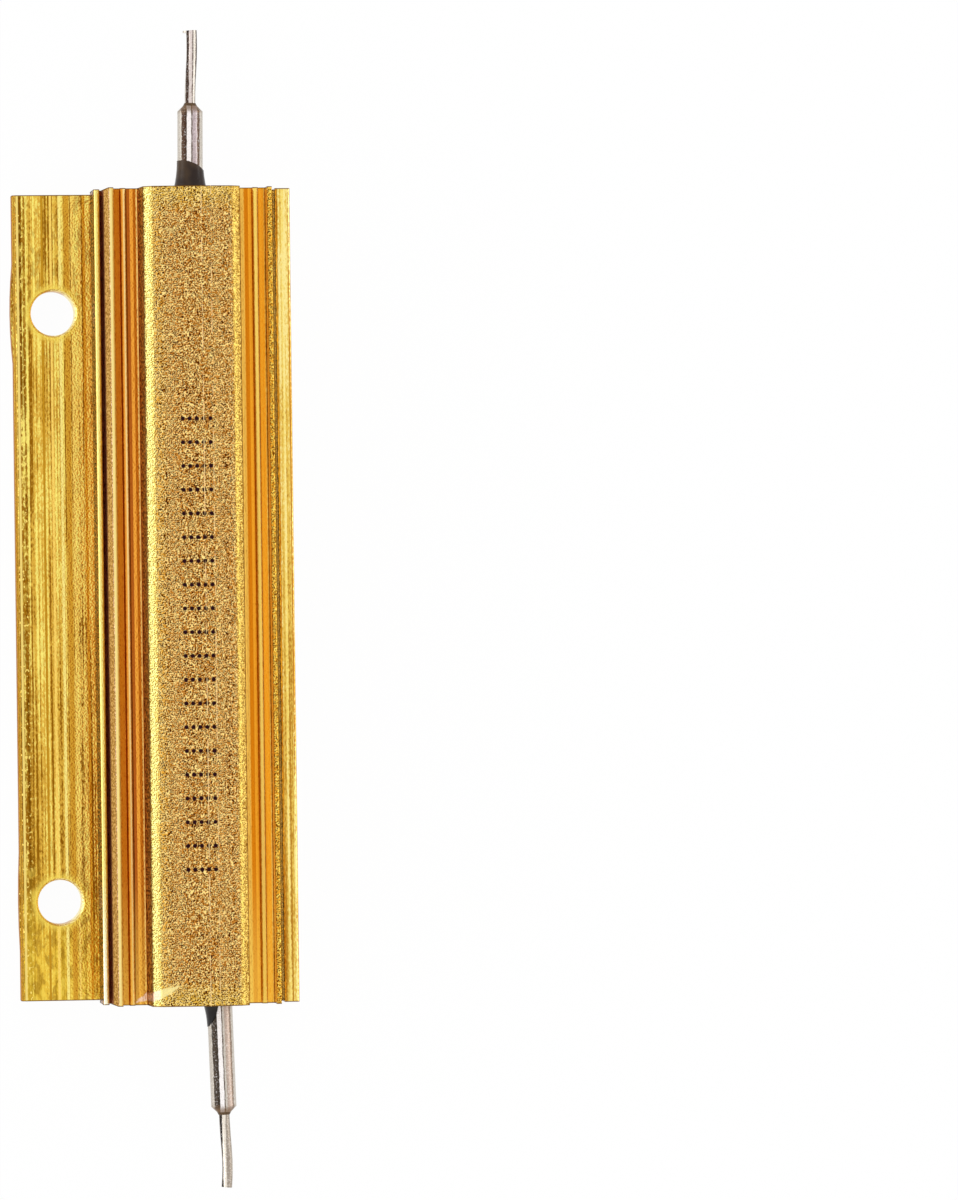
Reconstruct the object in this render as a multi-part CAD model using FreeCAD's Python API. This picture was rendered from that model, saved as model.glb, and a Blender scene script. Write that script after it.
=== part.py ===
"""An aluminium housed power resistor: a wirewound element potted in a finned extrusion with one flange.

Millimetres. +Z is up, the length lies along Y, and the flange is on the -X side. Front is -Y and rear is +Y.
The origin is on the flat base, under the middle of the finned body.
"""

import FreeCAD, Part
import math
import os

Vector = FreeCAD.Vector
FRONT = -1
REAR = 1
RIGHT = 1
LEFT = -1

# Housing's length, and its bore with the metal that is left under it
housing_length = 65.0
bore_diameter = 9.6
base_wall = 2.9

# Crown, a flat land with a slight dome and a bevel at each side, above the troughs
crown_rise = 3.9
crown_land_width = 6.3
crown_dome = 0.25
crown_bevel_width = 0.7
crown_bevel_drop = 0.6
crown_wall_lean = 0.23

# Trough beside the crown, with one low rib in it, and the wall left between its corner and the bore
trough_wall = 1.2
trough_rib_gap = 0.98
trough_rib_width = 0.44
trough_rib_height = 0.6
trough_outer_gap = 0.6

# Tall fin outside the trough, thicker at its root
fin_rise = 1.9
fin_tip_width = 0.4
fin_lean = 0.3
slot_width = 0.2
slot_floor_height = 8.7

# Side wing outside the slot, wider on the side that has no flange
wing_height = 10.9
wing_bottom_height = 6.4
left_wing_width = 0.48
right_wing_width = 1.2
waist_depth = 1.3
waist_slope_drop = 0.6

# Base, flange and screw holes, which sit at a distance from the wing, the flange's edge and the ends
flange_thickness = 2.4
foot_inset = 0.2
hole_diameter = 3.6
hole_wing_distance = 2.82
hole_edge_distance = 3.2
rear_hole_inset = 9.55
front_hole_inset = 7.95
rear_hole_bulge = 0.2
front_hole_bulge = 0.1
hole_bulge_span = 8.0
hole_edge_break = 0.15

# Radii of the extrusion's long edges
crown_radius = 0.35
tip_radius = 0.14
wing_radius = 0.2
root_radius = 0.08
base_radius = 0.25
flange_radius = 0.4

# Element inside the bore, from one cap's depth to the other's, with the least filling beside the front cap
rear_cap_depth = 10.05
front_cap_depth = 7.95
least_fill = 0.41
core_edge_break = 0.2
cap_wall = 0.35
cap_end_thickness = 0.5
cap_skirt = 3.0
cap_edge_break = 0.2
ribbon_thickness = 0.25
ribbon_width = 1.3
ribbon_pitch = 5.5
ribbon_clearance = 0.02
coating_over_ribbon = 0.3

# Terminal posts, which leave the bore off its axis and at a small angle, and end some way past their seals
post_diameter = 2.03
post_edge_break = 0.45
rear_post_bare = 4.4
front_post_bare = 6.78
rear_exit_offset = 0.49
rear_exit_tilt = 0.6
front_exit_offset = 2.03
front_exit_tilt = 1.7

# Lead wires soldered into the posts, each a little bent: how far its middle and its tip lie to the right
wire_diameter = 0.85
wire_reach = 6.05
wire_socket_depth = 2.5
wire_socket_clearance = 0.05
rear_wire_bow = 0.04
rear_wire_drift = 0.12
front_wire_bow = 0.1
front_wire_drift = -0.04
solder_height = 0.22
solder_spread = 0.14
solder_lip = 0.03

# Burr that the cutter left on the left of the rear wire's end
burr_thickness = 0.15
burr_overhang = 0.28

# Epoxy end seals, with a fillet that climbs the post. Its top falls away in a curve from its left edge to its
# right: each pair is a distance to the right and how far the top has fallen there.
seal_depth = 3.0
seal_recess = 0.25
seal_fillet_spread = 0.5
seal_fillet_waist = 0.4
seal_lip = 0.05
rear_seal_climb = 2.4
rear_seal_fall = ((1.2, 0.17), (2.3, 0.95))
front_seal_climb = 2.1
front_seal_fall = ((0.45, 0.6), (0.85, 2.6))

# Values that follow from the ones above
half_length = housing_length / 2
bore_radius = bore_diameter / 2
bore_height = base_wall + bore_radius
trough_edge = crown_land_width / 2 + crown_bevel_width + crown_wall_lean
trough_floor_height = bore_height + math.sqrt((bore_radius + trough_wall) ** 2 - trough_edge**2)
crown_height = trough_floor_height + crown_rise
fin_height = trough_floor_height + fin_rise
slot_edge = trough_edge + trough_rib_gap + trough_rib_width + trough_outer_gap + fin_tip_width + fin_lean
left_wing_edge = slot_edge + slot_width + left_wing_width
hole_row = left_wing_edge + hole_wing_distance
flange_reach = hole_row + hole_edge_distance
cap_radius = bore_radius - front_exit_offset + front_cap_depth * math.tan(math.radians(front_exit_tilt)) - least_fill
core_radius = cap_radius - cap_wall
core_length = housing_length - rear_cap_depth - front_cap_depth - 2 * cap_end_thickness
element_shift = (front_cap_depth - rear_cap_depth) / 2
ribbon_inner_radius = core_radius + ribbon_clearance
ribbon_radius = ribbon_inner_radius + ribbon_thickness
coating_inner_radius = ribbon_radius + ribbon_clearance
coating_radius = coating_inner_radius + coating_over_ribbon
element_half = core_length / 2 + cap_end_thickness
winding_length = core_length + 2 * cap_end_thickness - 2 * (cap_skirt + cap_end_thickness)
post_radius = post_diameter / 2
wire_radius = wire_diameter / 2


def rounded_outline(corners):
    """Face in the XZ plane whose outline runs through corners (x, z, radius), each corner an arc of its radius."""
    places = [Vector(x, 0, z) for x, z, radius in corners]
    arcs = []
    for i, (x, z, radius) in enumerate(corners):
        here = places[i]
        back = (places[i - 1] - here).normalize()
        ahead = (places[(i + 1) % len(places)] - here).normalize()
        half_angle = back.getAngle(ahead) / 2
        reach = radius / math.tan(half_angle)
        middle = here + (back + ahead).normalize() * (radius / math.sin(half_angle) - radius)
        arcs.append((here + back * reach, middle, here + ahead * reach))
    edges = []
    for i, (start, middle, end) in enumerate(arcs):
        edges.append(Part.Arc(start, middle, end).toShape())
        edges.append(Part.LineSegment(end, arcs[(i + 1) % len(arcs)][0]).toShape())
    return Part.Face(Part.Wire(edges))


def side_profile(side, wing_width):
    """Corners of one side of the section, from the crown's bevel down to the waist, on the given side."""
    crown_edge = crown_land_width / 2
    crown_wall = crown_edge + crown_bevel_width
    land_z = crown_height - crown_dome
    rib_in = trough_edge + trough_rib_gap
    rib_out = rib_in + trough_rib_width
    rib_top = trough_floor_height + trough_rib_height
    fin_in = rib_out + trough_outer_gap
    fin_out = fin_in + fin_tip_width
    slot_out = slot_edge + slot_width
    wing_out = slot_out + wing_width
    waist = wing_out - waist_depth
    corners = [
        (crown_edge, land_z, crown_radius),
        (crown_wall, land_z - crown_bevel_drop, crown_radius),
        (trough_edge, trough_floor_height, root_radius),
        (rib_in, trough_floor_height, root_radius),
        (rib_in, rib_top, tip_radius),
        (rib_out, rib_top, tip_radius),
        (rib_out, trough_floor_height, root_radius),
        (fin_in, trough_floor_height, root_radius),
        (fin_in, fin_height, tip_radius),
        (fin_out, fin_height, tip_radius),
        (slot_edge, slot_floor_height, root_radius),
        (slot_out, slot_floor_height, root_radius),
        (slot_out, wing_height, wing_radius),
        (wing_out, wing_height, wing_radius),
        (wing_out, wing_bottom_height, wing_radius),
        (waist, wing_bottom_height - waist_slope_drop, root_radius),
        (waist, flange_thickness, root_radius),
    ]
    return [(side * x, z, radius) for x, z, radius in corners]


def crown_dome_face():
    """Thin lens between the flat land of the crown and its domed face."""
    land_z = crown_height - crown_dome
    left = Vector(-crown_land_width / 2, 0, land_z)
    right = Vector(crown_land_width / 2, 0, land_z)
    top = Vector(0, 0, crown_height)
    return Part.Face(Part.Wire([Part.Arc(left, top, right).toShape(), Part.LineSegment(right, left).toShape()]))


def housing():
    """Finned extrusion with its bore and the two punched screw holes."""
    right = side_profile(RIGHT, right_wing_width)
    left = side_profile(LEFT, left_wing_width)
    right_wing_edge = max(x for x, z, radius in right)
    foot_x = right_wing_edge - foot_inset
    base = [
        (foot_x, flange_thickness, wing_radius),
        (foot_x, 0, base_radius),
        (-flange_reach, 0, base_radius),
        (-flange_reach, flange_thickness, flange_radius),
    ]
    section = rounded_outline(right + base + left[::-1])
    body = section.extrude(Vector(0, housing_length, 0))
    dome = crown_dome_face().extrude(Vector(0, housing_length, 0))
    body = body.fuse(dome)
    body.translate(Vector(0, -half_length, 0))
    body = body.fuse([edge_bulge(REAR, rear_hole_bulge), edge_bulge(FRONT, front_hole_bulge)])
    body = body.cut([bore_tool(), screw_hole_tool(REAR), screw_hole_tool(FRONT)])
    return body.removeSplitter()


def edge_bulge(end, bulge):
    """Where punching a hole has pushed the flange's outer edge out in a shallow arc."""
    y = hole_y(end)
    start = Vector(-flange_reach, y - hole_bulge_span / 2, base_radius)
    middle = Vector(-flange_reach - bulge, y, base_radius)
    finish = Vector(-flange_reach, y + hole_bulge_span / 2, base_radius)
    outline = Part.Wire([Part.Arc(start, middle, finish).toShape(), Part.LineSegment(finish, start).toShape()])
    return Part.Face(outline).extrude(Vector(0, 0, flange_thickness - base_radius - flange_radius))


def bore_tool():
    """Cylinder that bores the housing from end to end."""
    return Part.makeCylinder(bore_radius, housing_length, Vector(0, -half_length, bore_height), Vector(0, 1, 0))


def hole_y(end):
    """Place of the screw hole of one end along the housing."""
    return end * (half_length - (rear_hole_inset if end == REAR else front_hole_inset))


def screw_hole_tool(end):
    """Punched hole with its upper edge broken."""
    radius = hole_diameter / 2
    place = Vector(-hole_row, hole_y(end), 0)
    hole = Part.makeCylinder(radius, flange_thickness, place)
    lead_in = Part.makeCone(
        radius, radius + hole_edge_break, hole_edge_break, place + Vector(0, 0, flange_thickness - hole_edge_break)
    )
    return hole.fuse(lead_in)


def exit_point(end):
    """Where the axis of one terminal post crosses the end face of the housing."""
    offset = rear_exit_offset if end == REAR else front_exit_offset
    return Vector(offset, end * half_length, bore_height)


def exit_direction(end):
    """Direction of one terminal post, out of the housing."""
    tilt = math.radians(rear_exit_tilt if end == REAR else front_exit_tilt)
    return Vector(math.sin(tilt), end * math.cos(tilt), 0)


def root_point(end):
    """Where the axis of one post meets the outer face of its end cap."""
    y = element_shift + end * element_half
    direction = exit_direction(end)
    start = exit_point(end)
    return start + direction * ((y - start.y) / direction.y)


def post_length(end):
    """Length of one post from its cap to its tip: through the bore, up its seal's climb and on as bare metal."""
    inside = (exit_point(end) - root_point(end)).Length
    if end == REAR:
        return inside + rear_seal_climb + rear_post_bare
    return inside + front_seal_climb + front_post_bare


def post_tip(end):
    """Where the axis of one post meets its outer end."""
    return root_point(end) + exit_direction(end) * post_length(end)


def on_element_axis(shape):
    """Lays a shape that was made along Z round the origin on the element's axis, from front cap to rear cap."""
    front = root_point(FRONT)
    rear = root_point(REAR)
    turn = FreeCAD.Rotation(Vector(0, 0, 1), rear - front)
    shape.Placement = FreeCAD.Placement((front + rear) * 0.5, turn)
    return shape


def centred_cylinder(radius, length):
    """Cylinder along Z with its middle at the origin."""
    return Part.makeCylinder(radius, length, Vector(0, 0, -length / 2))


def ceramic_core():
    """Ceramic rod with broken edges."""
    rod = centred_cylinder(core_radius, core_length)
    rims = [edge for edge in rod.Edges if len(edge.Vertexes) == 1]
    return on_element_axis(rod.makeChamfer(core_edge_break, rims))


def end_cap(end):
    """Cup pressed on one end of the core."""
    depth = cap_skirt + cap_end_thickness
    outer = element_half * end
    axis = Vector(0, 0, -end)
    cup = Part.makeCylinder(cap_radius, depth, Vector(0, 0, outer), axis)
    cup = cup.makeChamfer(cap_edge_break, [e for e in cup.Edges if is_rim_at(e, outer)])
    inside = Part.makeCylinder(core_radius, cap_skirt, Vector(0, 0, outer - end * cap_end_thickness), axis)
    return on_element_axis(cup.cut(inside))


def is_rim_at(edge, height):
    """True for a round edge that lies at one height."""
    return abs(edge.BoundBox.ZMin - height) < 0.001 and abs(edge.BoundBox.ZMax - height) < 0.001


def resistance_winding():
    """Flat ribbon wound on the core from cap to cap, with its ends cut flush where it meets the caps."""
    height = winding_length + 2 * ribbon_width
    path = Part.makeHelix(ribbon_pitch, height, ribbon_inner_radius)
    path.translate(Vector(0, 0, -height / 2))
    low = -height / 2 - ribbon_width / 2
    high = low + ribbon_width
    corners = [
        Vector(ribbon_inner_radius, 0, low),
        Vector(ribbon_radius, 0, low),
        Vector(ribbon_radius, 0, high),
        Vector(ribbon_inner_radius, 0, high),
    ]
    section = Part.makePolygon(corners + corners[:1])
    sweep = Part.BRepOffsetAPI.MakePipeShell(Part.Wire(path.Edges))
    sweep.setFrenetMode(True)
    sweep.add(section)
    sweep.build()
    sweep.makeSolid()
    return on_element_axis(sweep.shape().common(centred_cylinder(ribbon_radius * 2, winding_length)))


def cement_coating():
    """Sleeve of cement over the winding, from cap to cap."""
    sleeve = centred_cylinder(coating_radius, winding_length)
    return on_element_axis(sleeve.cut(centred_cylinder(coating_inner_radius, winding_length)))


def terminal_post(end, cap):
    """Round post welded to its end cap, with a broken edge and a blind hole for the wire."""
    direction = exit_direction(end)
    root = root_point(end)
    overlap = cap_end_thickness / 2
    post = Part.makeCylinder(post_radius, post_length(end) + overlap, root - direction * overlap, direction)
    tip = post_tip(end)
    rims = [e for e in post.Edges if len(e.Vertexes) == 1 and e.CenterOfMass.isEqual(tip, 0.01)]
    post = post.makeChamfer(post_edge_break, rims)
    socket_radius = wire_radius + wire_socket_clearance
    socket = Part.makeCylinder(socket_radius, wire_socket_depth, tip, direction * -1)
    return post.cut([cap, socket])


def lead_wire(end):
    """Thin wire, straight in the post's socket and a little bent from there to its cut end."""
    direction = exit_direction(end)
    side = Vector(abs(direction.y), -direction.x * end, 0)
    bow = rear_wire_bow if end == REAR else front_wire_bow
    drift = rear_wire_drift if end == REAR else front_wire_drift
    root = post_tip(end)
    socket_floor = root - direction * wire_socket_depth
    middle = root + direction * (wire_reach / 2) + side * (bow + drift / 2)
    tip = root + direction * wire_reach + side * drift
    lower, middle_direction = arc_onward(root, direction, middle)
    upper, tip_direction = arc_onward(middle, middle_direction, tip)
    spine = Part.Wire([Part.LineSegment(socket_floor, root).toShape(), lower, upper])
    circle = Part.Wire(Part.makeCircle(wire_radius, socket_floor, direction))
    wire = spine.makePipeShell([circle], True, True)
    if end == REAR:
        wire = wire.fuse(cut_burr(tip, tip_direction, side))
    return wire


def arc_onward(start, direction, finish):
    """Arc that leaves its start in the given direction and ends at finish, with its direction there."""
    chord = finish - start
    along = Vector(chord).normalize()
    angle = direction.getAngle(chord)
    across = (direction - along * math.cos(angle)).normalize()
    middle = start + chord * 0.5 + across * (chord.Length / 2 * math.tan(angle / 2))
    onward = along * (2 * math.cos(angle)) - direction
    return Part.Arc(start, middle, finish).toShape(), onward


def cut_burr(tip, direction, side):
    """Thin lip that stands out to the left just under a wire's end."""
    foot = tip - side * burr_overhang - direction * burr_thickness * 1.2
    return Part.makeCylinder(wire_radius, burr_thickness, foot, direction)


def solder_fillet(end, wire):
    """Ring of solder between the mouth of the post and the wire."""
    direction = exit_direction(end)
    tip = post_tip(end)
    foot = wire_radius + solder_spread
    return Part.makeCone(foot, wire_radius + solder_lip, solder_height, tip, direction).cut(wire)


def end_seal(end, post):
    """Epoxy plug in the mouth of the bore, with a fillet that climbs the post higher on its left."""
    climb = rear_seal_climb if end == REAR else front_seal_climb
    outward = Vector(0, end, 0)
    inner_face = Vector(0, end * (half_length - seal_depth), bore_height)
    plug = Part.makeCylinder(bore_radius, seal_depth - seal_recess, inner_face, outward)
    foot_height = -seal_recess * 2
    foot = post_radius + seal_fillet_spread
    lip = post_radius + seal_lip
    waist = Vector(
        post_radius + seal_fillet_spread * seal_fillet_waist,
        0,
        foot_height + (climb - foot_height) * seal_fillet_waist,
    )
    outline = [
        Part.Arc(Vector(foot, 0, foot_height), waist, Vector(lip, 0, climb)).toShape(),
        Part.LineSegment(Vector(lip, 0, climb), Vector(0, 0, climb)).toShape(),
        Part.LineSegment(Vector(0, 0, climb), Vector(0, 0, foot_height)).toShape(),
        Part.LineSegment(Vector(0, 0, foot_height), Vector(foot, 0, foot_height)).toShape(),
    ]
    fillet = Part.Face(Part.Wire(outline)).revolve(Vector(0, 0, 0), Vector(0, 0, 1), 360)
    fillet.Placement = FreeCAD.Placement(exit_point(end), FreeCAD.Rotation(Vector(0, 0, 1), exit_direction(end)))
    fillet = fillet.cut(seal_top_tool(end, climb))
    return plug.fuse(fillet).cut(post).removeSplitter()


def seal_top_tool(end, climb):
    """Block whose curved underside trims a seal's fillet, from full height at the left to less at the right."""
    near, far = rear_seal_fall if end == REAR else front_seal_fall
    size = bore_diameter
    left = -post_radius - seal_lip
    start = Vector(left, end * climb, 0)
    middle = Vector(left + near[0], end * (climb - near[1]), 0)
    finish = Vector(left + far[0], end * (climb - far[1]), 0)
    corners = [
        finish,
        Vector(size, finish.y, 0),
        Vector(size, end * size, 0),
        Vector(-size, end * size, 0),
        Vector(-size, start.y, 0),
        start,
    ]
    edges = [Part.Arc(start, middle, finish).toShape()]
    edges += [Part.LineSegment(a, b).toShape() for a, b in zip(corners, corners[1:])]
    block = Part.Face(Part.Wire(edges)).extrude(Vector(0, 0, size))
    block.translate(exit_point(end) - Vector(0, 0, size / 2))
    return block


def potting_fill(caps_and_posts):
    """Filling of the bore between the two seals, round the element and the roots of the posts."""
    length = housing_length - 2 * seal_depth
    fill = Part.makeCylinder(bore_radius, length, Vector(0, -length / 2, bore_height), Vector(0, 1, 0))
    coated = on_element_axis(centred_cylinder(coating_radius, winding_length))
    core = on_element_axis(centred_cylinder(core_radius, core_length))
    return fill.cut([coated, core] + caps_and_posts)


def build():
    """All pieces by name."""
    pieces = {
        "housing": housing(),
        "ceramic_core": ceramic_core(),
        "resistance_winding": resistance_winding(),
        "cement_coating": cement_coating(),
    }
    for name, end in (("front", FRONT), ("rear", REAR)):
        cap = end_cap(end)
        post = terminal_post(end, cap)
        wire = lead_wire(end)
        pieces[name + "_end_cap"] = cap
        pieces[name + "_terminal_post"] = post
        pieces[name + "_lead_wire"] = wire
        pieces[name + "_solder_fillet"] = solder_fillet(end, wire)
        pieces[name + "_end_seal"] = end_seal(end, post)
    caps_and_posts = [pieces[end + piece] for end in ("front", "rear") for piece in ("_end_cap", "_terminal_post")]
    pieces["potting_fill"] = potting_fill(caps_and_posts)
    return pieces


os.makedirs("parts", exist_ok=True)
for name, shape in build().items():
    shape.exportStep("parts/" + name + ".step")
    print(name, shape.isValid(), len(shape.Solids), round(shape.Volume, 2))
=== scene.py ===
"""Looks of an aluminium housed power resistor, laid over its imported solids.

Blender's units are metres here, and every size in a finish is in millimetres. +Z is up, the length
lies along Y with the front at -Y, and the screw flange is on the -X side, which is called the left.
"""

import bpy
import math
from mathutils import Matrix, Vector

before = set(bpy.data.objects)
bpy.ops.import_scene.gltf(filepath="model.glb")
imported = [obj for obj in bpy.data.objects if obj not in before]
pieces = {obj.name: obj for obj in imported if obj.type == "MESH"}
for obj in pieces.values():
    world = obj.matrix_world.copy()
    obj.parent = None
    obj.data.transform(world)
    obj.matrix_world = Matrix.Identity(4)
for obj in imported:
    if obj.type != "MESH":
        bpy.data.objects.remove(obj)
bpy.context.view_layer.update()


# Resistance element.
# A flat alloy ribbon is wound on a white ceramic rod and covered with a sleeve of green grey cement.
# Nothing of it shows once the housing is on, but each piece has its own finish.

def from_photo(red, green, blue):
    """Linear colour of a red, green and blue given from 0 to 255 as a screen shows them."""
    shown = [value / 255 for value in (red, green, blue)]
    linear = [v / 12.92 if v <= 0.04045 else ((v + 0.055) / 1.055) ** 2.4 for v in shown]
    return (*linear, 1.0)


class Finish:
    """A material under construction: each method adds one node and returns its output."""

    def __init__(self, name, metallic=0.0, roughness=0.5):
        self.material = bpy.data.materials.new(name)
        self.material.use_nodes = True
        self.tree = self.material.node_tree
        self.shader = self.tree.nodes["Principled BSDF"]
        self.shader.inputs["Metallic"].default_value = metallic
        self.shader.inputs["Roughness"].default_value = roughness
        self.place = self.scaled(self.node("ShaderNodeTexCoord").outputs["Object"], 1000)

    def node(self, kind, **settings):
        """New node with the given settings."""
        made = self.tree.nodes.new(kind)
        for key, value in settings.items():
            setattr(made, key, value)
        return made

    def feed(self, socket, value):
        """Gives a socket another node's output, or a number."""
        if isinstance(value, bpy.types.NodeSocket):
            self.tree.links.new(value, socket)
        else:
            socket.default_value = value

    def scaled(self, vector, factor):
        """Vector times one number."""
        made = self.node("ShaderNodeVectorMath", operation="SCALE")
        self.feed(made.inputs[0], vector)
        made.inputs["Scale"].default_value = factor
        return made.outputs[0]

    def stretched(self, x, y, z):
        """Place in millimetres, multiplied along each axis."""
        made = self.node("ShaderNodeVectorMath", operation="MULTIPLY")
        self.feed(made.inputs[0], self.place)
        made.inputs[1].default_value = (x, y, z)
        return made.outputs[0]

    def shifted(self, x, y, z):
        """Place in millimetres, moved along each axis."""
        made = self.node("ShaderNodeVectorMath", operation="ADD")
        self.feed(made.inputs[0], self.place)
        made.inputs[1].default_value = (x, y, z)
        return made.outputs[0]

    def math(self, operation, a, b=0.0):
        """One sum of two numbers."""
        made = self.node("ShaderNodeMath", operation=operation)
        self.feed(made.inputs[0], a)
        self.feed(made.inputs[1], b)
        return made.outputs[0]

    def axis(self, letter, vector=None):
        """One coordinate of the place in millimetres, or of another vector."""
        made = self.node("ShaderNodeSeparateXYZ")
        self.feed(made.inputs[0], self.place if vector is None else vector)
        return made.outputs[letter]

    def noise(self, vector, scale=1.0, detail=2.0, roughness=0.5):
        """Soft noise from 0 to 1 round one half."""
        made = self.node("ShaderNodeTexNoise")
        self.feed(made.inputs["Vector"], vector)
        made.inputs["Scale"].default_value = scale
        made.inputs["Detail"].default_value = detail
        made.inputs["Roughness"].default_value = roughness
        return made.outputs["Fac"]

    def step(self, value, start, end, low=0.0, high=1.0):
        """Goes smoothly from low to high while value goes from start to end."""
        made = self.node("ShaderNodeMapRange", interpolation_type="SMOOTHSTEP")
        self.feed(made.inputs["Value"], value)
        made.inputs["From Min"].default_value = start
        made.inputs["From Max"].default_value = end
        made.inputs["To Min"].default_value = low
        made.inputs["To Max"].default_value = high
        return made.outputs[0]

    def mix(self, factor, a, b):
        """Colour a, turning into b as factor goes from 0 to 1."""
        made = self.node("ShaderNodeMix", data_type="RGBA")
        self.feed(made.inputs[0], factor)
        self.feed(made.inputs[6], a)
        self.feed(made.inputs[7], b)
        return made.outputs[2]

    def bump(self, height, depth):
        """Shades the surface as if height stood out by depth millimetres at 1."""
        made = self.node("ShaderNodeBump")
        made.inputs["Distance"].default_value = depth / 1000
        self.feed(made.inputs["Height"], height)
        self.feed(self.shader.inputs["Normal"], made.outputs[0])

    def colour(self, value):
        """Base colour of the surface."""
        self.feed(self.shader.inputs["Base Color"], value)

    def roughness(self, value):
        """Roughness of the surface."""
        self.feed(self.shader.inputs["Roughness"], value)

    def on(self, *names):
        """Puts the finish on the named pieces."""
        for name in names:
            mesh = pieces[name].data
            mesh.materials.clear()
            mesh.materials.append(self.material)


ceramic = Finish("white_ceramic", roughness=0.7)
grains = ceramic.noise(ceramic.place, 6, 3)
ceramic.colour(ceramic.mix(grains, from_photo(222, 216, 203), from_photo(240, 236, 226)))
ceramic.bump(grains, 0.01)
ceramic.on("ceramic_core")

ribbon = Finish("resistance_ribbon", metallic=1.0, roughness=0.35)
oxide = ribbon.noise(ribbon.place, 12, 2)
ribbon.colour(ribbon.mix(oxide, from_photo(150, 140, 128), from_photo(186, 178, 166)))
ribbon.on("resistance_winding")

cement = Finish("grey_cement", roughness=0.85)
pores = cement.noise(cement.place, 5, 4)
cement.colour(cement.mix(pores, from_photo(120, 130, 116), from_photo(158, 166, 150)))
cement.bump(pores, 0.04)
cement.on("cement_coating")


# End caps.
# Thin steel cups, nickel plated, pressed on the ends of the ceramic rod.
# The ribbon's ends and the terminal posts are welded to them.

nickel = Finish("plated_steel", metallic=1.0, roughness=0.3)
dull = nickel.noise(nickel.place, 3, 3)
nickel.colour(nickel.mix(dull, from_photo(170, 168, 160), from_photo(200, 198, 190)))
nickel.roughness(nickel.step(dull, 0.3, 0.7, 0.22, 0.4))
nickel.on("front_end_cap", "rear_end_cap")


# Potting.
# Pale heat conducting filling that was poured round the element and set.
# It carries the heat from the element to the wall of the bore.

potting = Finish("pale_potting", roughness=0.8)
lumps = potting.noise(potting.place, 2, 4)
potting.colour(potting.mix(lumps, from_photo(206, 202, 190), from_photo(226, 223, 214)))
potting.bump(lumps, 0.05)
potting.on("potting_fill")


# Housing.
# One aluminium extrusion, sawn to length, punched, tumbled and then anodised gold.
# The tumbling has left its crown stippled, and the faces beside it show the long lines of the die.

# Heights over the base at which one face gives way to the next
CROWN_FACE = 15.6
BEVEL_FOOT = 15.0
RIB_TOP = 12.7
TROUGH_FLOOR = 12.1
WING_TOP = 10.9
SLOT_FLOOR = 8.7
WAIST_TOP = 5.6
FLANGE_TOP = 2.4

# Distances from the middle to the same borders, and to the sawn ends
CROWN_EDGE = 3.15
CROWN_WALL = 4.08
RIB_START = 5.06
FIN_START = 6.1
SLOT_START = 6.8
SLOT_END = 7.0
BODY_END = 32.5

# Punched screw holes
HOLE_X = -10.3
HOLES_Y = (22.95, -24.55)
HOLE_RADIUS = 1.8


def between(finish, value, low, high, soft=0.03):
    """1 where value lies from low to high, fading to 0 over soft outside both."""
    over_low = finish.step(value, low - soft, low)
    under_high = finish.step(value, high, high + soft, 1.0, 0.0)
    return finish.math("MULTIPLY", over_low, under_high)


def striped(finish, ground, across, stripes):
    """Lays stripes (from, to, softness, colour) over a ground colour, by the distance across the piece."""
    for low, high, soft, colour in stripes:
        ground = finish.mix(between(finish, across, low, high, soft), ground, from_photo(*colour))
    return ground


gold = Finish("gold_anodised", metallic=1.0)
x = gold.axis("X")
y = gold.axis("Y")
z = gold.axis("Z")
from_middle = gold.math("ABSOLUTE", x)
from_centre = gold.math("ABSOLUTE", y)
left = gold.step(x, 1, -1)
right = gold.step(x, -1, 1)
near_front = gold.step(y, -BODY_END + 12, -BODY_END + 1)

# Which way the face points
normal = gold.node("ShaderNodeNewGeometry").outputs["Normal"]
normal_x = gold.axis("X", normal)
upright = gold.step(gold.math("ABSOLUTE", normal_x), 0.75, 0.95)
flat = gold.math("SUBTRACT", 1.0, upright)
facing_left = gold.step(normal_x, -0.75, -0.95)
sawn = gold.step(gold.math("ABSOLUTE", gold.axis("Y", normal)), 0.8, 0.9)


def region(*masks):
    """1 where all the masks are 1."""
    where = masks[0]
    for mask in masks[1:]:
        where = gold.math("MULTIPLY", where, mask)
    return where


def above(height):
    """1 over a height."""
    return gold.step(z, height - 0.1, height)


def inside(reach):
    """1 nearer the middle than a distance to either side."""
    return gold.step(from_middle, reach, reach - 0.05)


def outside(reach):
    """1 farther out than a distance to either side."""
    return gold.step(from_middle, reach - 0.05, reach)


def by_side(on_left, on_right):
    """One colour on the left half of the housing and another on the right half."""
    return gold.mix(right, on_left, on_right)


def ridge(hills):
    """0 along the lines where noise is at its middle, and rising on both sides of them."""
    return gold.math("ABSOLUTE", gold.math("SUBTRACT", hills, 0.5))


# The tumbled grain: thin bright burrs that curl round dark pits, about 0.15 mm across
GRAIN_SCALE = 6.6
grain = gold.noise(gold.place, GRAIN_SCALE, 0)
burr_line = ridge(grain)
pit_line = ridge(gold.noise(gold.shifted(0.055, -0.046, 0.046), GRAIN_SCALE, 0))
breaks = gold.noise(gold.place, 4.6, 0)
burrs = region(gold.step(burr_line, 0.07, 0.05), gold.step(breaks, 0.28, 0.36))
pits = region(gold.step(pit_line, 0.13, 0.10), gold.step(burr_line, 0.06, 0.08))


def grained(base, light, dark):
    """Base colour with the tumbled grain's bright burrs and dark pits."""
    return gold.mix(pits, gold.mix(burrs, base, light), dark)


# The same grain on upright walls, where it stands taller
wall_hills = gold.noise(gold.stretched(2, 5.5, 1.6), 1, 1)


def stippled(base, light, dark):
    """Base colour with the grain as it shows on upright walls."""
    lit = gold.mix(gold.step(wall_hills, 0.51, 0.56), base, light)
    return gold.mix(gold.step(wall_hills, 0.48, 0.42), lit, dark)


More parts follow.
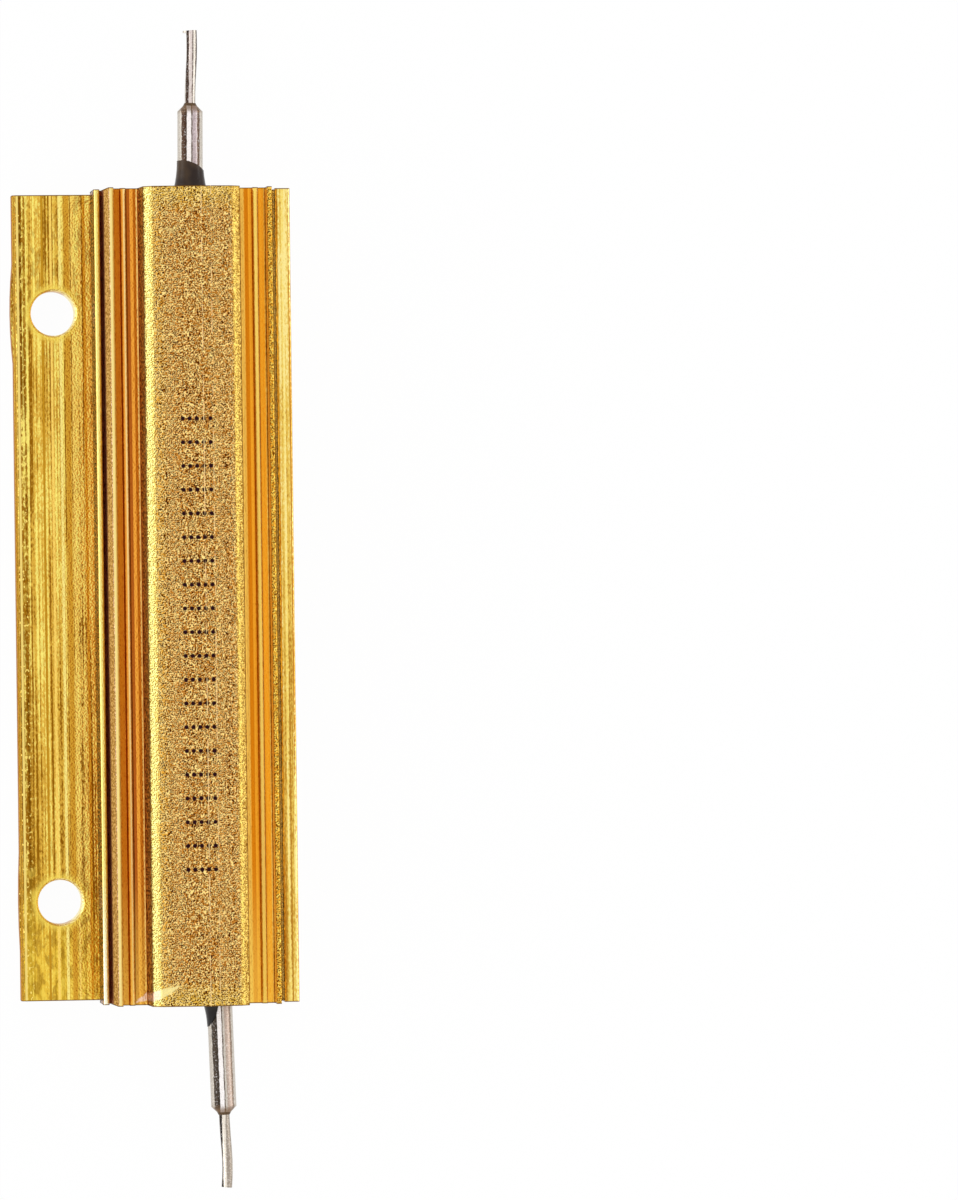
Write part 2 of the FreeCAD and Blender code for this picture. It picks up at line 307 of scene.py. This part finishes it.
# Die lines run the whole length of every face, and hammered flecks and patches break them up
die_lines = gold.noise(gold.stretched(5.5, 0.02, 5.5), 1, 2, 0.6)
flecks = gold.noise(gold.stretched(8, 3.2, 8), 1, 2, 0.6)
patches = gold.noise(gold.stretched(0.9, 0.16, 0.9), 1, 2)
lines = gold.math("ADD", gold.math("MULTIPLY", die_lines, 0.55), gold.math("MULTIPLY", flecks, 0.25))
lines = gold.math("ADD", lines, gold.math("MULTIPLY", patches, 0.2))


def drawn(base, light, dark):
    """Base colour with the die's bright and dark lines."""
    lit = gold.mix(gold.step(lines, 0.51, 0.58), base, light)
    return gold.mix(gold.step(lines, 0.49, 0.42), lit, dark)


# The grain makes the borders between the crown's faces ragged, by up to 0.15 mm
ragged = gold.math("MULTIPLY", gold.math("SUBTRACT", gold.noise(gold.place, 5, 1), 0.5), 0.3)
ragged_x = gold.math("ADD", x, ragged)
ragged_from_middle = gold.math("ADD", from_middle, ragged)
ragged_from_centre = gold.math("ADD", from_centre, ragged)

# Crown: duller than the rest and darker from painted shade, painted lighter beside its left bevel where light
# falls from the left, and yellower at its sawn ends
near_ends = gold.step(ragged_from_centre, BODY_END - 2.5, BODY_END - 0.3, 0.0, 0.8)
painted_light_beside_bevel = gold.step(ragged_x, -CROWN_EDGE - 0.05, -1.9)
crown_gold = gold.mix(painted_light_beside_bevel, from_photo(236, 176, 64), from_photo(204, 134, 50))
crown_gold = gold.mix(near_ends, crown_gold, from_photo(238, 196, 78))
crown_gold = grained(crown_gold, from_photo(255, 226, 142), from_photo(72, 22, 4))
# Bevels: painted light makes the left one brighter than the right, and each has a painted highlight stripe
# and a painted shade line along its outer edge
left_bevel = striped(gold, from_photo(222, 188, 92), ragged_x, [
    (-3.66, -3.46, 0.10, (246, 236, 140)),
    (-4.00, -3.80, 0.05, (130, 88, 40)),
])
left_bevel = grained(left_bevel, from_photo(255, 250, 160), from_photo(130, 88, 20))
right_bevel = striped(gold, from_photo(200, 156, 64), ragged_x, [
    (3.30, 3.42, 0.06, (246, 214, 104)),
    (3.84, 3.94, 0.04, (140, 96, 20)),
])
right_bevel = grained(right_bevel, from_photo(250, 220, 120), from_photo(130, 84, 22))
bevel_gold = by_side(left_bevel, right_bevel)
crown_wall = stippled(from_photo(208, 156, 68), from_photo(230, 184, 94), from_photo(184, 130, 52))

# Troughs: smooth and orange, with painted shade bands that their walls throw on them and painted highlights
# along the ribs' and walls' edges
left_trough = striped(gold, from_photo(250, 172, 64), x, [
    (-6.00, -5.60, 0.06, (198, 112, 22)),
    (-5.26, -5.08, 0.04, (255, 224, 150)),
    (-5.03, -4.95, 0.03, (92, 34, 6)),
    (-4.92, -4.74, 0.04, (182, 94, 30)),
    (-4.44, -4.26, 0.03, (202, 112, 24)),
    (-4.20, -4.13, 0.03, (255, 218, 128)),
])
right_trough = striped(gold, from_photo(252, 172, 44), x, [
    (4.12, 4.36, 0.08, (255, 206, 92)),
    (4.48, 4.70, 0.08, (222, 130, 16)),
    (5.12, 5.34, 0.08, (255, 222, 110)),
    (5.42, 5.48, 0.03, (255, 240, 170)),
])
trough_gold = by_side(left_trough, right_trough)
dark_lines = gold.step(die_lines, 0.6, 0.36, 0.0, 0.3)
trough_gold = gold.mix(dark_lines, trough_gold, from_photo(190, 108, 22))
trough_gold = gold.mix(gold.math("MULTIPLY", near_front, 0.4), trough_gold, from_photo(255, 214, 90))

# Fins: a painted highlight along the left one's tip, painted shade with grain on its rounded outer rim, and
# grain with a painted highlight band on its outer wall
left_fin = striped(gold, from_photo(230, 190, 100), x, [(-6.40, -6.27, 0.03, (248, 226, 146))])
fin_rim_shade = grained(from_photo(124, 82, 68), from_photo(240, 208, 200), from_photo(48, 18, 14))
left_fin = gold.mix(gold.step(x, -6.42, -6.48), left_fin, fin_rim_shade)
right_fin = grained(from_photo(236, 168, 46), from_photo(255, 224, 104), from_photo(110, 58, 6))
fin_gold = by_side(left_fin, right_fin)
wall_highlight_band = (9.80, 10.70, 0.25)
outer_wall = striped(gold, from_photo(212, 164, 84), z, [(*wall_highlight_band, (238, 200, 120))])
outer_wall = stippled(outer_wall, from_photo(236, 194, 114), from_photo(192, 142, 70))
# The right side's inner walls and its slot are painted bright, painted light where they would lie in shade
inner_wall = from_photo(255, 226, 150)
slot_gold = by_side(from_photo(200, 132, 90), from_photo(252, 228, 160))

# Wings: the left one painted brighter than the right, as lit from the left, and brighter still towards the
# front; painted shade lines along both outer edges, a painted highlight on the right one, and the die's lines
# on the right one and on all the sides below
left_wing = gold.mix(near_front, from_photo(246, 228, 132), from_photo(255, 250, 218))
left_wing = striped(gold, left_wing, x, [(-7.62, -7.46, 0.03, (112, 66, 28))])
right_wing = striped(gold, from_photo(234, 194, 84), x, [
    (7.50, 7.64, 0.08, (250, 222, 114)),
    (8.02, 8.09, 0.04, (190, 122, 44)),
])
right_wing = drawn(right_wing, from_photo(255, 236, 150), from_photo(190, 134, 44))
wing_gold = by_side(left_wing, right_wing)
body_gold = drawn(from_photo(224, 174, 72), from_photo(244, 204, 100), from_photo(190, 136, 44))

# Flange: lengthwise streaks, with hammered flecks and blotches towards its outer edge and its ends
outer_border = gold.step(gold.math("ADD", x, gold.math("MULTIPLY", ragged, 2)), -12.2, -12.7)
beside_wing = gold.step(x, -9.4, -8.4)
flange_gold = gold.mix(beside_wing, from_photo(226, 178, 66), from_photo(255, 218, 104))
flange_gold = gold.mix(outer_border, flange_gold, from_photo(164, 110, 18))
flange_dark = gold.mix(outer_border, from_photo(150, 98, 10), from_photo(110, 66, 0))
flange_gold = drawn(flange_gold, from_photo(255, 238, 122), flange_dark)
front_yellow = gold.step(y, -20, -30, 0.0, 0.5)
flange_gold = gold.mix(front_yellow, flange_gold, from_photo(248, 210, 66))
blotches = gold.noise(gold.stretched(1.6, 0.7, 1.6), 1, 3, 0.6)
towards_ends = gold.math("ADD", gold.step(y, -16, -26, 0.2, 0.8), gold.step(y, 18, 26, 0.0, 0.4))
blotchy = gold.math("MAXIMUM", towards_ends, gold.math("MULTIPLY", outer_border, 0.9))
dark_blotch = region(blotchy, gold.step(blotches, 0.49, 0.40), 0.6)
bright_blotch = region(blotchy, gold.math("MAXIMUM", towards_ends, 0.4), gold.step(blotches, 0.53, 0.62), 0.6)
flange_gold = gold.mix(dark_blotch, flange_gold, from_photo(140, 94, 12))
flange_gold = gold.mix(bright_blotch, flange_gold, from_photo(255, 228, 96))
hammered = gold.noise(gold.stretched(5, 3, 5), 1, 1)
bright_flecks = region(outer_border, gold.step(hammered, 0.6, 0.68))
flange_gold = gold.mix(bright_flecks, flange_gold, from_photo(255, 226, 116))
flange_gold = striped(gold, flange_gold, x, [
    (-13.42, -13.32, 0.05, (150, 112, 40)),
    (-13.18, -13.06, 0.06, (244, 216, 120)),
    (-11.22, -11.10, 0.05, (196, 144, 34)),
    (-10.52, -10.38, 0.05, (254, 216, 104)),
    (-9.80, -9.64, 0.06, (255, 236, 136)),
    (-9.30, -9.00, 0.08, (216, 162, 50)),
    (-8.80, -8.70, 0.05, (255, 220, 108)),
    (-7.84, -7.70, 0.06, (222, 162, 44)),
])

# A yellow halo lies round each hole, where the punch has pressed the face down
away_x = gold.math("POWER", gold.math("SUBTRACT", x, HOLE_X), 2)
hole_walls = 0.0
for hole_y in HOLES_Y:
    away_y = gold.math("POWER", gold.math("SUBTRACT", y, hole_y), 2)
    away = gold.math("SQRT", gold.math("ADD", away_x, away_y))
    halo = gold.step(gold.math("ADD", away, ragged), HOLE_RADIUS + 0.75, HOLE_RADIUS + 0.1, 0.0, 0.75)
    flange_gold = gold.mix(halo, flange_gold, from_photo(250, 222, 96))
    in_hole = gold.step(away, HOLE_RADIUS + 0.16, HOLE_RADIUS + 0.12)
    hole_walls = gold.math("MAXIMUM", hole_walls, in_hole)

# Each face gets its own gold, from the troughs outwards and then the walls
under_bevel = gold.step(z, BEVEL_FOOT, BEVEL_FOOT - 0.1)
under_wing_top = gold.step(z, WING_TOP + 0.1, WING_TOP)
on_flange = gold.step(z, FLANGE_TOP + 0.2, FLANGE_TOP + 0.1)
on_land = gold.step(ragged_from_middle, CROWN_EDGE + 0.1, CROWN_EDGE - 0.1)
inner_walls = region(right, facing_left, outside(RIB_START - 0.46), inside(SLOT_START + 0.1))
inner_walls = region(inner_walls, above(TROUGH_FLOOR - 0.2))
outer_walls = region(left, facing_left, outside(FIN_START - 0.15), inside(SLOT_END - 0.05))
outer_walls = region(outer_walls, above(SLOT_FLOOR + 0.3))
crown_walls = region(upright, inside(CROWN_WALL + 0.12), above(TROUGH_FLOOR + 0.2), under_bevel)
slots = region(outside(SLOT_START - 0.1), inside(SLOT_END + 0.06), above(SLOT_FLOOR - 0.1), under_wing_top)
shown = body_gold
for where, colour in (
    (region(inside(FIN_START - 0.1), above(TROUGH_FLOOR - 0.15)), trough_gold),
    (region(outside(FIN_START - 0.2), inside(SLOT_START + 0.1), above(RIB_TOP + 0.2)), fin_gold),
    (region(outside(SLOT_END - 0.05), above(WING_TOP - 0.2), flat), wing_gold),
    (above(BEVEL_FOOT), bevel_gold),
    (region(above(CROWN_FACE), on_land), crown_gold),
    (region(on_flange, flat), flange_gold),
    (inner_walls, inner_wall),
    (outer_walls, outer_wall),
    (slots, slot_gold),
    (hole_walls, from_photo(255, 238, 160)),
    (crown_walls, crown_wall),
):
    shown = gold.mix(where, shown, colour)

# Sawn ends: fine saw marks, and a dark line along their rims
saw_marks = gold.noise(gold.stretched(0.5, 1, 9), 1, 2, 0.6)
shown = gold.mix(sawn, shown, gold.mix(saw_marks, from_photo(176, 118, 36), from_photo(240, 190, 92)))
end_rim = gold.step(from_centre, BODY_END - 0.09, BODY_END - 0.05)
end_rim = region(end_rim, gold.step(sawn, 0.5, 0.4))
shown = gold.mix(end_rim, shown, from_photo(120, 84, 30))

# Rows of five punched dots, which spell nothing, along the crown
DOT_RADIUS = 0.18
DOT_PITCH = 0.55
DOTS_IN_ROW = 5
DOT_FIELD_LEFT = -1.25
ROW_PITCH = 1.88
DOT_ROWS = 20
DOT_FIELD_FRONT = -22.6
on_crown = gold.step(z, CROWN_FACE, CROWN_FACE + 0.1)


def repeated(coordinate, start, pitch, count):
    """Distance to the nearest of count places, a pitch apart from start on, and 1 where they lie."""
    place = gold.math("DIVIDE", gold.math("SUBTRACT", coordinate, start), pitch)
    from_nearest = gold.math("SUBTRACT", gold.math("FRACT", place), 0.5)
    return gold.math("MULTIPLY", from_nearest, pitch), between(gold, place, 0, count, 0.01)


dot_x, in_rows = repeated(x, DOT_FIELD_LEFT, DOT_PITCH, DOTS_IN_ROW)
dot_y, in_field = repeated(y, DOT_FIELD_FRONT, ROW_PITCH, DOT_ROWS)
from_dot = gold.math("ADD", gold.math("POWER", dot_x, 2), gold.math("POWER", dot_y, 2))
punched = gold.step(gold.math("SQRT", from_dot), DOT_RADIUS + 0.02, DOT_RADIUS - 0.04)
shown = gold.mix(region(on_crown, in_rows, in_field, punched), shown, from_photo(44, 20, 26))

# Two thin scratches along the crown, worn away here and there
SCRATCHES = ((0.68, 0.71), (1.44, 1.46))
worn = gold.step(gold.noise(gold.stretched(2, 0.6, 2), 1, 2), 0.45, 0.55)
scratches = 0.0
for scratch_left, scratch_right in SCRATCHES:
    scratches = gold.math("MAXIMUM", scratches, between(gold, x, scratch_left, scratch_right))
shown = gold.mix(region(on_crown, worn, scratches), shown, from_photo(248, 214, 150))

# One pale scuff across the front end of the crown's left edge, turned by 23.4 degrees
SCUFF_X = -3.4
SCUFF_Y = -31.55
SCUFF_COSINE = 0.918
SCUFF_SINE = 0.397
SCUFF_HALF_LENGTH = 1.65
scuff_x = gold.math("SUBTRACT", x, SCUFF_X)
scuff_y = gold.math("SUBTRACT", y, SCUFF_Y)
scuff_along = gold.math("MULTIPLY", scuff_x, SCUFF_COSINE)
scuff_along = gold.math("ADD", scuff_along, gold.math("MULTIPLY", scuff_y, SCUFF_SINE))
scuff_across = gold.math("MULTIPLY", scuff_y, SCUFF_COSINE)
scuff_across = gold.math("SUBTRACT", scuff_across, gold.math("MULTIPLY", scuff_x, SCUFF_SINE))
taper = gold.math("POWER", gold.math("DIVIDE", scuff_along, SCUFF_HALF_LENGTH), 2)
scuff_edge = gold.math("ADD", gold.math("ABSOLUTE", scuff_across), gold.math("MULTIPLY", taper, 0.3))
scuff = gold.step(gold.math("ADD", scuff_edge, ragged), 0.40, 0.28, 0.0, 0.85)
scuff_gold = gold.mix(on_crown, from_photo(250, 216, 190), from_photo(252, 236, 160))
shown = gold.mix(region(scuff, gold.step(z, WING_TOP + 0.1, WING_TOP + 0.6)), shown, scuff_gold)
gold.colour(shown)

# Seen at a grazing angle the walls take a painted edge tint: painted shade turns the outer ones purple brown,
# all but a painted highlight band, and the crown's walls and the left wing's outer walls above the waist
# dark, while a white tint keeps the inner walls, the slots and the hole walls bright
outer_edge_painted_light = striped(gold, from_photo(92, 56, 50), z, [(*wall_highlight_band, (255, 250, 248))])
outer_edge_painted_light = stippled(outer_edge_painted_light, from_photo(240, 214, 214), from_photo(20, 4, 4))
crown_edge_shade = stippled(from_photo(106, 58, 32), from_photo(255, 236, 206), from_photo(48, 16, 0))
wing_edge_shade = stippled(from_photo(50, 16, 4), from_photo(250, 214, 184), from_photo(10, 0, 0))
wing_edge_shade = gold.mix(gold.step(z, WAIST_TOP, WAIST_TOP + 0.6), from_photo(255, 240, 210), wing_edge_shade)
wing_walls = region(left, upright, outside(SLOT_END + 0.2), above(FLANGE_TOP + 1.8))
bright_walls = gold.math("MAXIMUM", inner_walls, gold.math("MAXIMUM", slots, hole_walls))
edge_tint = gold.mix(outer_walls, from_photo(200, 150, 100), outer_edge_painted_light)
edge_tint = gold.mix(crown_walls, edge_tint, crown_edge_shade)
edge_tint = gold.mix(bright_walls, edge_tint, from_photo(255, 255, 255))
edge_tint = gold.mix(wing_walls, edge_tint, wing_edge_shade)
gold.feed(gold.shader.inputs["Specular Tint"], edge_tint)

# The grain dulls the crown, the fins and the left fin's outer wall, and the narrow walls stay smooth
dull_walls = region(outer_walls, gold.step(z, SLOT_FLOOR + 0.7, SLOT_FLOOR + 1.1, 0.0, 0.75))
rough = gold.math("MAXIMUM", gold.step(z, TROUGH_FLOOR + 0.3, RIB_TOP + 0.1, 0.3, 0.45), dull_walls)
smooth = gold.math("MAXIMUM", region(slots, right), inner_walls)
smooth = gold.math("MAXIMUM", smooth, gold.math("MULTIPLY", wing_walls, 0.6))
gold.roughness(gold.math("SUBTRACT", rough, gold.math("MULTIPLY", smooth, 0.24)))
gold.bump(grain, 0.03)
gold.on("housing")


# Terminals.
# Tinned steel posts with thin tinned wires soldered in their ends. Their tinning is dull and grainy,
# and painted reflections of a dark room lie on it in long stripes on the left.

REAR_POST_TIP = 39.25
FRONT_POST_TIP = -41.38


def tinned(name, root_x, root_y, slant, stripes, mouth=None):
    """Tinned steel with painted reflections in long stripes on its upward faces, beside an axis that runs
    from (root_x, root_y) and leans by slant.

    The flux has browned it near its mouth, where a wire is soldered in.
    """
    tin = Finish(name, metallic=1.0)
    lean = tin.math("MULTIPLY", tin.math("SUBTRACT", tin.axis("Y"), root_y), slant)
    across = tin.math("SUBTRACT", tin.math("SUBTRACT", tin.axis("X"), root_x), lean)
    roughly = tin.noise(tin.stretched(6, 1.6, 6), 1, 2, 0.6)
    across = tin.math("ADD", across, tin.math("MULTIPLY", tin.math("SUBTRACT", roughly, 0.5), 0.12))
    plain = from_photo(206, 198, 186)
    upward = tin.axis("Z", tin.node("ShaderNodeNewGeometry").outputs["Normal"])
    plated = tin.mix(tin.step(upward, 0.15, 0.35), plain, striped(tin, plain, across, stripes))
    grit = tin.noise(tin.place, 7, 2, 0.7)
    plated = tin.mix(tin.step(grit, 0.46, 0.34, 0.0, 0.3), plated, from_photo(120, 104, 92))
    plated = tin.mix(tin.step(grit, 0.56, 0.66, 0.0, 0.35), plated, from_photo(252, 246, 244))
    if mouth is not None:
        beyond = tin.math("SUBTRACT", tin.math("ABSOLUTE", tin.axis("Y")), abs(mouth))
        plated = tin.mix(tin.step(beyond, -0.7, -0.1, 0.0, 0.75), plated, from_photo(128, 96, 62))
    tin.colour(plated)
    tin.roughness(tin.step(grit, 0.3, 0.7, 0.25, 0.45))
    tin.bump(grit, 0.02)
    return tin


# The stripes of each post and wire are painted reflections of a dark room
rear_tin = tinned("rear_tinned_steel", 0.49, BODY_END, 0.0105, [
    (-0.72, -0.36, 0.05, (66, 46, 34)),
    (-0.30, 0.00, 0.04, (255, 248, 246)),
    (0.05, 0.10, 0.04, (96, 78, 70)),
    (0.14, 0.46, 0.04, (190, 174, 176)),
    (0.52, 0.70, 0.04, (86, 68, 58)),
], REAR_POST_TIP)
rear_tin.on("rear_terminal_post")
front_tin = tinned("front_tinned_steel", 2.03, -BODY_END, -0.0297, [
    (-0.76, -0.36, 0.05, (58, 50, 42)),
    (-0.32, -0.02, 0.04, (255, 250, 248)),
    (0.02, 0.07, 0.03, (90, 76, 66)),
    (0.26, 0.60, 0.05, (186, 166, 152)),
    (0.64, 0.76, 0.04, (138, 118, 102)),
], FRONT_POST_TIP)
front_tin.on("front_terminal_post")
rear_wire_tin = tinned("rear_tinned_wire", 0.62, REAR_POST_TIP, 0.02, [
    (-0.40, -0.22, 0.04, (52, 36, 28)),
    (-0.16, 0.02, 0.04, (226, 212, 206)),
    (0.06, 0.12, 0.03, (120, 104, 98)),
    (0.34, 0.44, 0.03, (72, 56, 48)),
])
rear_wire_tin.on("rear_lead_wire")
front_wire_tin = tinned("front_tinned_wire", 2.34, FRONT_POST_TIP, -0.012, [
    (-0.44, -0.26, 0.03, (34, 28, 24)),
    (-0.20, -0.02, 0.04, (240, 230, 216)),
    (0.04, 0.44, 0.04, (164, 152, 138)),
])
front_wire_tin.on("front_lead_wire")

solder = Finish("tarnished_solder", metallic=1.0, roughness=0.4)
tarnish = solder.noise(solder.place, 6, 2)
solder.colour(solder.mix(tarnish, from_photo(70, 54, 42), from_photo(122, 98, 72)))
solder.on("front_solder_fillet", "rear_solder_fillet")


# End seals.
# Dark brown epoxy, poured into the mouths of the bore, which climbed the posts before it set.
# The rear one is browner than the front one.

epoxy = Finish("dark_epoxy", roughness=0.25)
epoxy.shader.inputs["Specular IOR Level"].default_value = 0.2
cloud = epoxy.step(epoxy.noise(epoxy.place, 0.5, 2), 0.36, 0.66)
rear_brown = epoxy.mix(cloud, from_photo(46, 33, 27), from_photo(78, 60, 42))
front_brown = epoxy.mix(cloud, from_photo(28, 23, 23), from_photo(46, 40, 36))
epoxy.colour(epoxy.mix(epoxy.step(epoxy.axis("Y"), -1, 1), front_brown, rear_brown))
epoxy.bump(epoxy.noise(epoxy.place, 4, 2), 0.02)
epoxy.on("front_end_seal", "rear_end_seal")


# Studio.
# A plain pale floor under soft white light, seen from above and a little to the left.
# The camera and every reflection see the floor almost white, and it takes the resistor's shadow.

FLOOR_HALF = 1.5
FLOOR_GREY = 0.9
WHITE_SHARE = 0.97

floor_mesh = bpy.data.meshes.new("floor")
corners = [(FLOOR_HALF * i, FLOOR_HALF * j, 0) for i, j in ((-1, -1), (1, -1), (1, 1), (-1, 1))]
floor_mesh.from_pydata(corners, [], [(0, 1, 2, 3)])
floor = bpy.data.objects.new("floor", floor_mesh)
bpy.context.scene.collection.objects.link(floor)

pale = bpy.data.materials.new("pale_floor")
pale.use_nodes = True
nodes = pale.node_tree.nodes
links = pale.node_tree.links
nodes.clear()
matt = nodes.new("ShaderNodeBsdfDiffuse")
matt.inputs["Color"].default_value = (FLOOR_GREY, FLOOR_GREY, FLOOR_GREY, 1)
glow = nodes.new("ShaderNodeEmission")
seen = nodes.new("ShaderNodeMixShader")
seen.inputs[0].default_value = WHITE_SHARE
links.new(matt.outputs[0], seen.inputs[1])
links.new(glow.outputs[0], seen.inputs[2])
path = nodes.new("ShaderNodeLightPath")
direct = path.outputs["Is Camera Ray"]
for ray in ("Is Glossy Ray", "Is Transmission Ray"):
    either = nodes.new("ShaderNodeMath")
    either.operation = "MAXIMUM"
    links.new(direct, either.inputs[0])
    links.new(path.outputs[ray], either.inputs[1])
    direct = either.outputs[0]
chosen = nodes.new("ShaderNodeMixShader")
links.new(direct, chosen.inputs[0])
links.new(matt.outputs[0], chosen.inputs[1])
links.new(seen.outputs[0], chosen.inputs[2])
output = nodes.new("ShaderNodeOutputMaterial")
links.new(chosen.outputs[0], output.inputs[0])
floor_mesh.materials.append(pale)

world = bpy.data.worlds.new("white_room")
bpy.context.scene.world = world
world.use_nodes = True
world.node_tree.nodes["Background"].inputs["Color"].default_value = (1, 1, 1, 1)
world.node_tree.nodes["Background"].inputs["Strength"].default_value = 1.0


def soft_light(name, place, size, power):
    """Square white lamp at a place in metres, turned towards the resistor."""
    lamp = bpy.data.lights.new(name, "AREA")
    lamp.size = size
    lamp.energy = power
    holder = bpy.data.objects.new(name, lamp)
    holder.location = place
    holder.rotation_euler = (-Vector(place)).to_track_quat("-Z", "Y").to_euler()
    bpy.context.scene.collection.objects.link(holder)


soft_light("left_window", (-0.6, 0.05, 0.16), 0.4, 0.8)
soft_light("right_window", (0.6, 0.05, 0.2), 0.3, 0.5)

camera_data = bpy.data.cameras.new("camera")
camera_data.lens = 244.7
camera_data.sensor_width = 36
camera_data.clip_start = 0.05
camera = bpy.data.objects.new("camera", camera_data)
camera.location = (-0.0510, -0.0007, 0.660)
camera.rotation_euler = (math.radians(0.091), math.radians(-6.505), math.radians(-0.723))
bpy.context.scene.collection.objects.link(camera)
bpy.context.scene.camera = camera
bpy.context.scene.view_settings.view_transform = "Standard"
